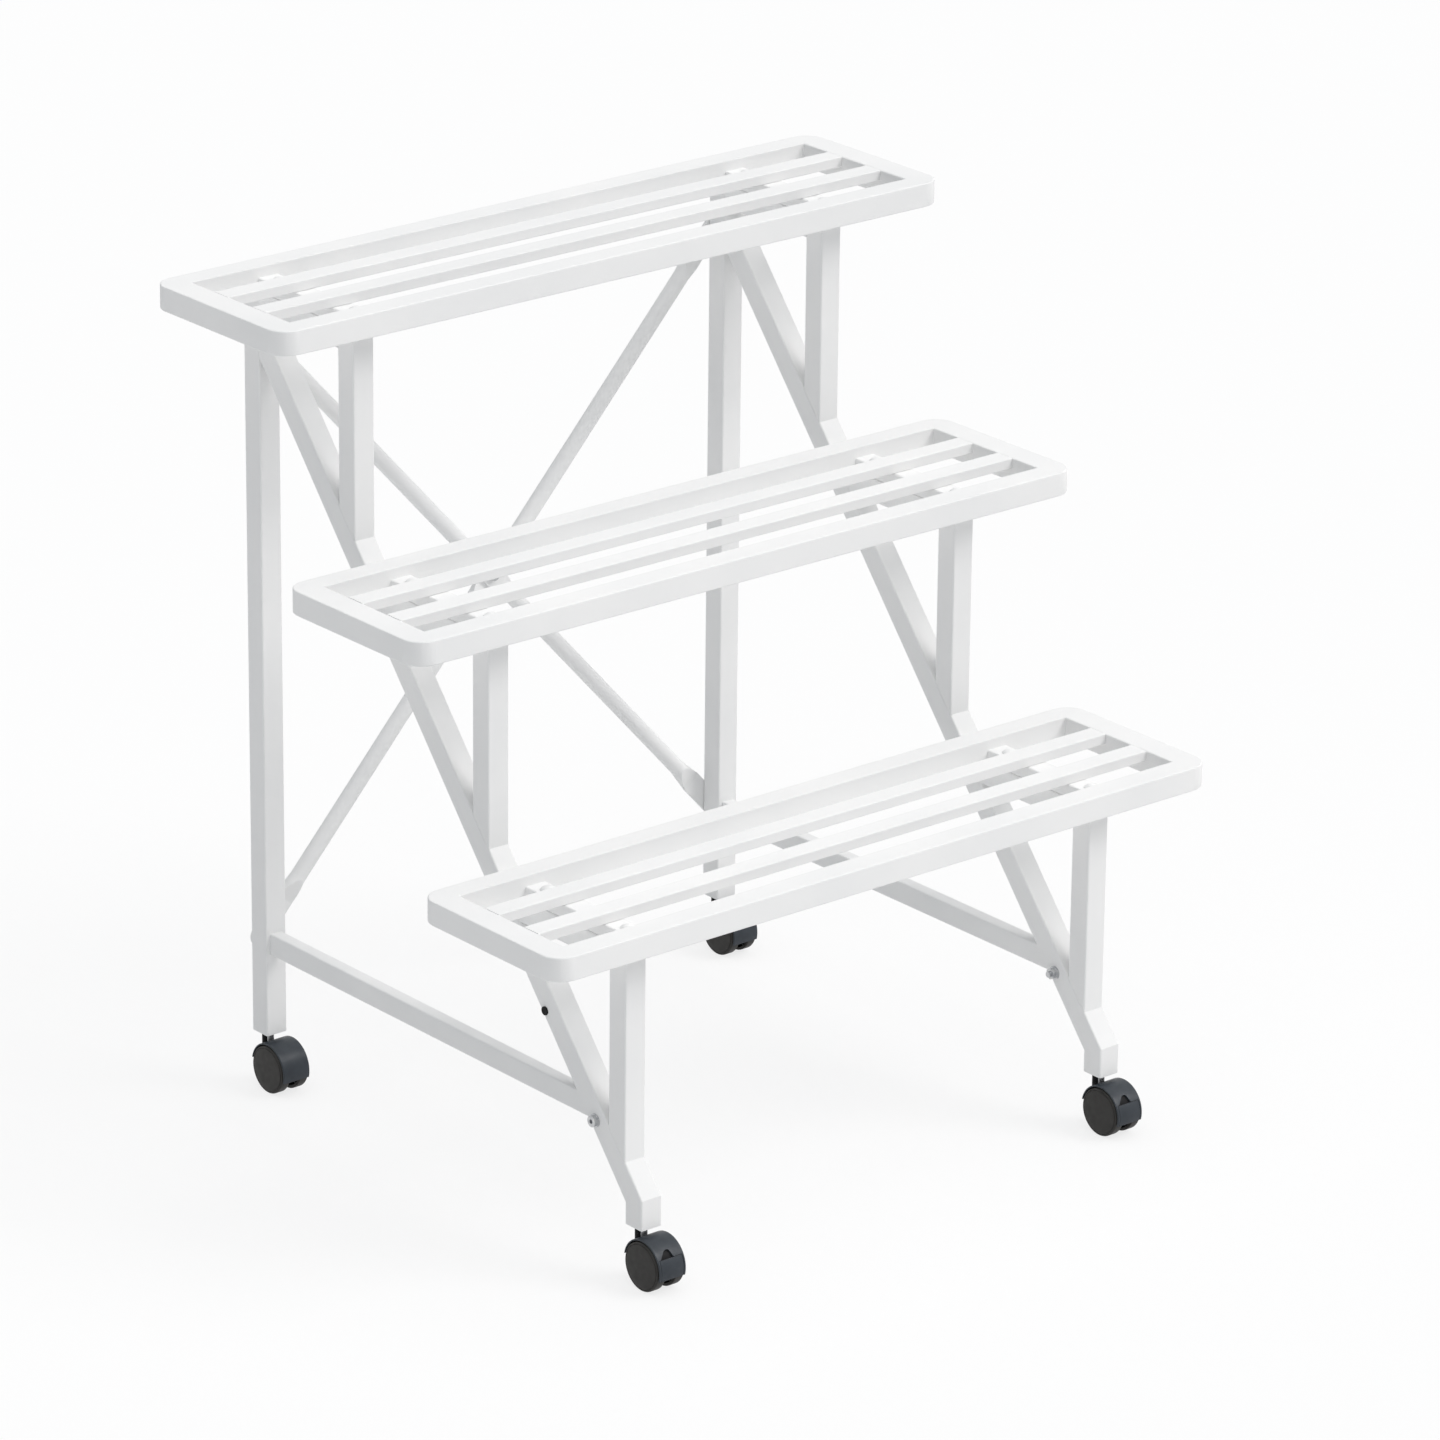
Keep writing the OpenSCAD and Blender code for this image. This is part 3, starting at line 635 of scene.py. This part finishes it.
def seen_directly(tree):
    """1 for rays from the camera and for reflected and refracted ones, 0 for all others."""
    rays = tree.nodes.new("ShaderNodeLightPath")
    total = rays.outputs["Is Camera Ray"]
    for kind in ("Is Glossy Ray", "Is Transmission Ray"):
        add = tree.nodes.new("ShaderNodeMath")
        add.operation = "MAXIMUM"
        tree.links.new(total, add.inputs[0])
        tree.links.new(rays.outputs[kind], add.inputs[1])
        total = add.outputs["Value"]
    return total


def whiten(finish):
    """Mixes plain white into the floor where it is seen, so that it keeps only a light shadow."""
    tree = finish.material.node_tree
    white = tree.nodes.new("ShaderNodeEmission")
    share = tree.nodes.new("ShaderNodeMath")
    share.operation = "MULTIPLY"
    share.inputs[1].default_value = FLOOR_WHITENING
    tree.links.new(seen_directly(tree), share.inputs[0])
    mix = tree.nodes.new("ShaderNodeMixShader")
    tree.links.new(share.outputs["Value"], mix.inputs["Fac"])
    tree.links.new(finish.shader.outputs["BSDF"], mix.inputs[1])
    tree.links.new(white.outputs["Emission"], mix.inputs[2])
    tree.links.new(mix.outputs["Shader"], tree.nodes["Material Output"].inputs["Surface"])


def add_floor():
    mesh = bpy.data.meshes.new("floor")
    half = FLOOR_SIDE / 2
    corners = [(-half, -half, 0), (half, -half, 0), (half, half, 0), (-half, half, 0)]
    mesh.from_pydata(corners, [], [(0, 1, 2, 3)])
    floor = bpy.data.objects.new("floor", mesh)
    finish = Finish("floor_paper", {"Roughness": 0.9, "Specular IOR Level": 0.1})
    low, high = [FLOOR_WHITE * FLOOR_DRIFT] * 3, [FLOOR_WHITE] * 3
    finish.colour(finish.noise(3, 3), (NOISE_LOW, low), (NOISE_HIGH, high))
    whiten(finish)
    mesh.materials.append(finish.material)
    scene.collection.objects.link(floor)


def add_world():
    """Even light, and plain white where the camera or a reflection looks past the floor."""
    world = bpy.data.worlds.new("studio")
    world.use_nodes = True
    tree = world.node_tree
    light = tree.nodes["Background"]
    light.inputs["Color"].default_value = WORLD_LIGHT
    white = tree.nodes.new("ShaderNodeBackground")
    white.inputs["Color"].default_value = (1, 1, 1, 1)
    mix = tree.nodes.new("ShaderNodeMixShader")
    tree.links.new(seen_directly(tree), mix.inputs["Fac"])
    tree.links.new(light.outputs["Background"], mix.inputs[1])
    tree.links.new(white.outputs["Background"], mix.inputs[2])
    tree.links.new(mix.outputs["Shader"], tree.nodes["World Output"].inputs["Surface"])
    scene.world = world


def add_lamp(name, strength, colour, tilt, turn, softness):
    data = bpy.data.lights.new(name, "SUN")
    data.energy = strength
    data.color = colour
    data.angle = math.radians(softness)
    lamp = bpy.data.objects.new(name, data)
    lamp.rotation_euler = (math.radians(tilt), 0, math.radians(turn))
    scene.collection.objects.link(lamp)


add_floor()
add_world()
for name, settings in LAMPS.items():
    add_lamp(name, *settings)
scene.view_settings.view_transform = "Standard"
